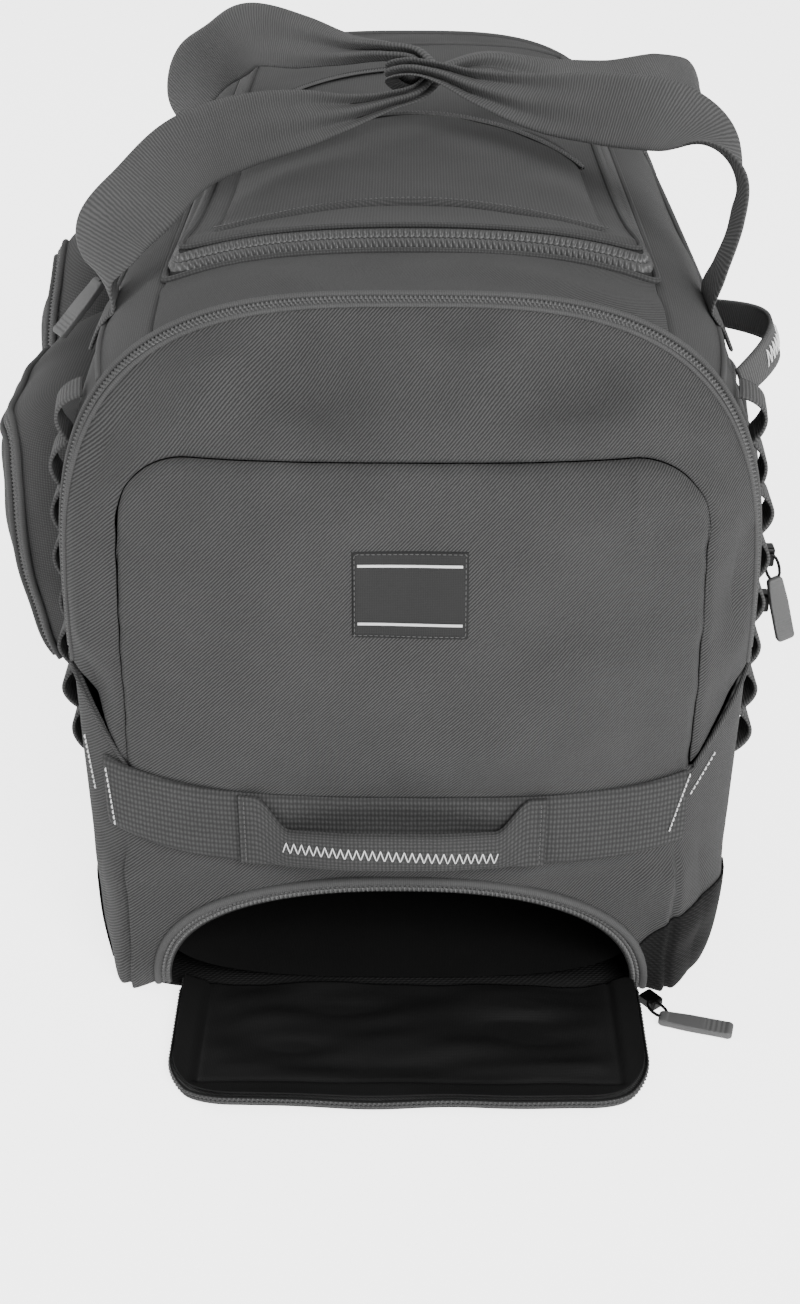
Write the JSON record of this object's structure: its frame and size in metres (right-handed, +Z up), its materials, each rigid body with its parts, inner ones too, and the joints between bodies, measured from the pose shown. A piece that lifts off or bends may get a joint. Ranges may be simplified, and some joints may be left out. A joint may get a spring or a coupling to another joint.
{
  "type": "wheeled kit bag",
  "caption": "Soft grey wheeled kit bag with a zipped lid, webbing carry handles, side pockets and a low bat compartment whose flap lies open at the near end.",
  "frame": {"origin": "on the floor under the middle of the bag's base", "axes": "+X to the right as seen from the near end, +Y from the near end with the flap to the wheeled end, +Z up"},
  "size_m": [0.4907, 0.9695, 0.4652],
  "materials": {
    "grey_cloth": "mid grey woven polyester, matt with a faint diagonal weave",
    "webbing": "ribbed grey polyester webbing",
    "zip_coil": "grey nylon coil on grey tape",
    "boot_mesh": "dark ribbed hard-wearing cloth",
    "lining_cloth": "black coated lining, slightly shiny",
    "label_cloth": "plain grey patch",
    "pull_rubber": "grey ribbed moulded pull",
    "slider_metal": "black enamelled zinc",
    "moulded_plastic": "black moulded plastic with a fine grain",
    "tyre_rubber": "black solid rubber wheel",
    "axle_steel": "plain steel pin"
  },
  "bodies": {
    "bag": {"base_boot": "boot_mesh", "side_panel_left": "grey_cloth", "side_panel_right": "grey_cloth", "lid": "grey_cloth", "main_zip": "zip_coil", "near_collar": "grey_cloth", "far_collar": "grey_cloth", "lid_pocket": "grey_cloth", "lid_pocket_zip": "zip_coil", "rear_lid_zip": "zip_coil", "end_panel": "grey_cloth", "end_zip": "zip_coil", "end_pad": "grey_cloth", "label_patch": "label_cloth", "lower_end_panel": "grey_cloth", "bat_zip": "zip_coil", "grab_band": "webbing", "grab_grip": "webbing", "bat_flap": "grey_cloth", "bat_flap_lining": "lining_cloth", "bat_sleeve": "lining_cloth", "far_end_panel": "grey_cloth", "left_front_pocket": "grey_cloth", "left_rear_pocket": "grey_cloth", "right_pocket": "grey_cloth", "carry_handle_left": "webbing", "carry_handle_right": "webbing", "loop_chain_left": "webbing", "loop_chain_right": "webbing", "side_grip": "webbing", "bat_zip_pull": "pull_rubber", "bat_zip_slider": "slider_metal", "side_zip_pull": "pull_rubber", "side_zip_slider_upper": "slider_metal", "side_zip_slider_lower": "slider_metal", "shoulder_pull": "pull_rubber", "kick_plate": "moulded_plastic", "axle_left": "axle_steel", "axle_right": "axle_steel"},
    "wheel_left": {"wheel_left": "tyre_rubber"},
    "wheel_right": {"wheel_right": "tyre_rubber"}
  },
  "joints": [
    {"name": "wheel_left_spin", "type": "hinge", "parent": "bag", "child": "wheel_left", "pos_m": [-0.132, 0.404, 0.036], "axis": [1, 0, 0], "continuous": true},
    {"name": "wheel_right_spin", "type": "hinge", "parent": "bag", "child": "wheel_right", "pos_m": [0.132, 0.404, 0.036], "axis": [1, 0, 0], "continuous": true}
  ]
}
